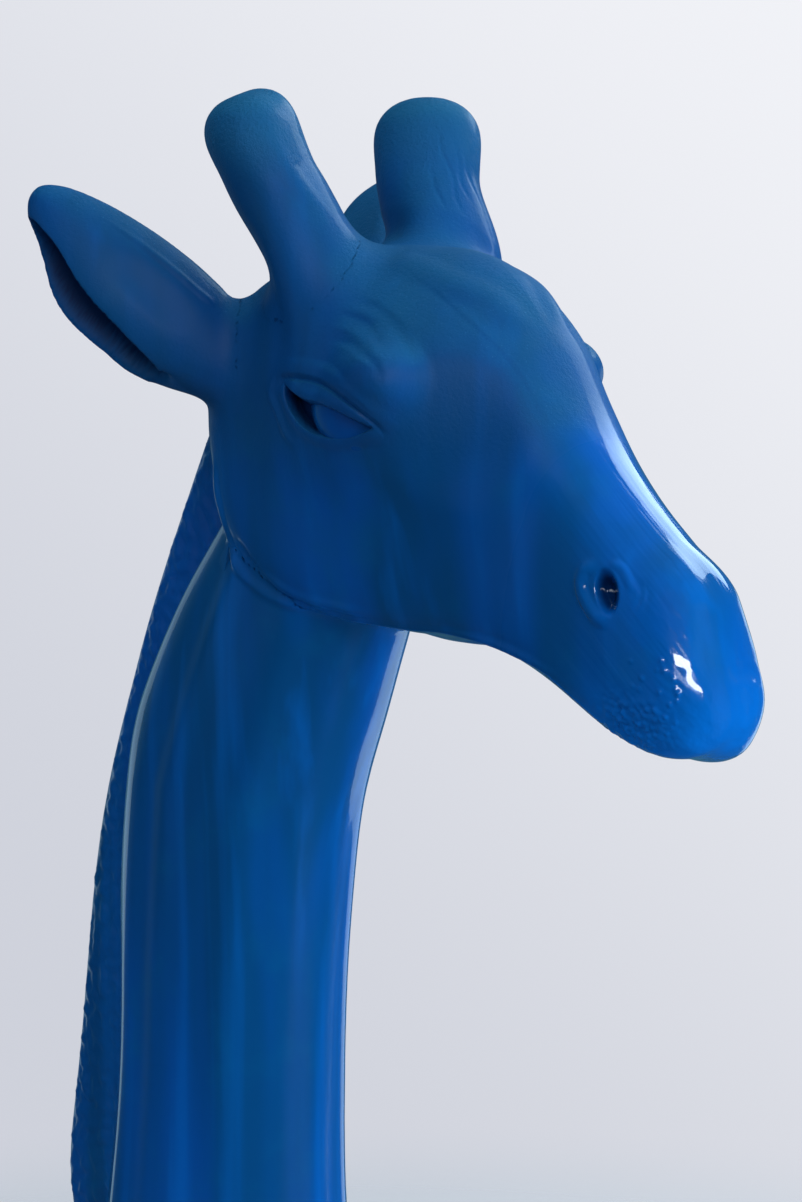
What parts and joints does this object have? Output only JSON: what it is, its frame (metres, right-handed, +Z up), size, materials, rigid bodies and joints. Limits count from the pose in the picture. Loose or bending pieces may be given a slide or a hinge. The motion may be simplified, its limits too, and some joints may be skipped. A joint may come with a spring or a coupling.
{
  "type": "carved giraffe statue",
  "caption": "Carved giraffe bust, head and long neck with blunt horns, leaf ears and a ridge mane, in drippy glossy blue enamel, on an oval plinth.",
  "frame": {"origin": "centre of the underside of the felt, on the table under the plinth", "axes": "+Z up the neck, -Y the way the face looks, +X towards the giraffe's left"},
  "size_m": [0.3104, 0.5633, 0.8526],
  "materials": {
    "blue_enamel": "thick gloss blue enamel over carved wood, with drips, sags and grit",
    "beech": "bare turned beech dowel",
    "zinc_steel": "zinc plated",
    "felt": "pressed wool felt"
  },
  "bodies": {
    "root": {"neck_column": "blue_enamel", "head_block": "blue_enamel", "mane_strip": "blue_enamel", "horn_left": "blue_enamel", "horn_right": "blue_enamel", "ear_left": "blue_enamel", "ear_right": "blue_enamel", "eye_left": "blue_enamel", "eye_right": "blue_enamel", "plinth": "blue_enamel", "head_dowels": "beech", "horn_dowel_left": "beech", "horn_dowel_right": "beech", "ear_dowel_left": "beech", "ear_dowel_right": "beech", "mane_pins": "beech", "foot_dowels": "beech", "foot_screws": "zinc_steel", "foot_washers": "zinc_steel", "base_felt": "felt"}
  },
  "joints": []
}
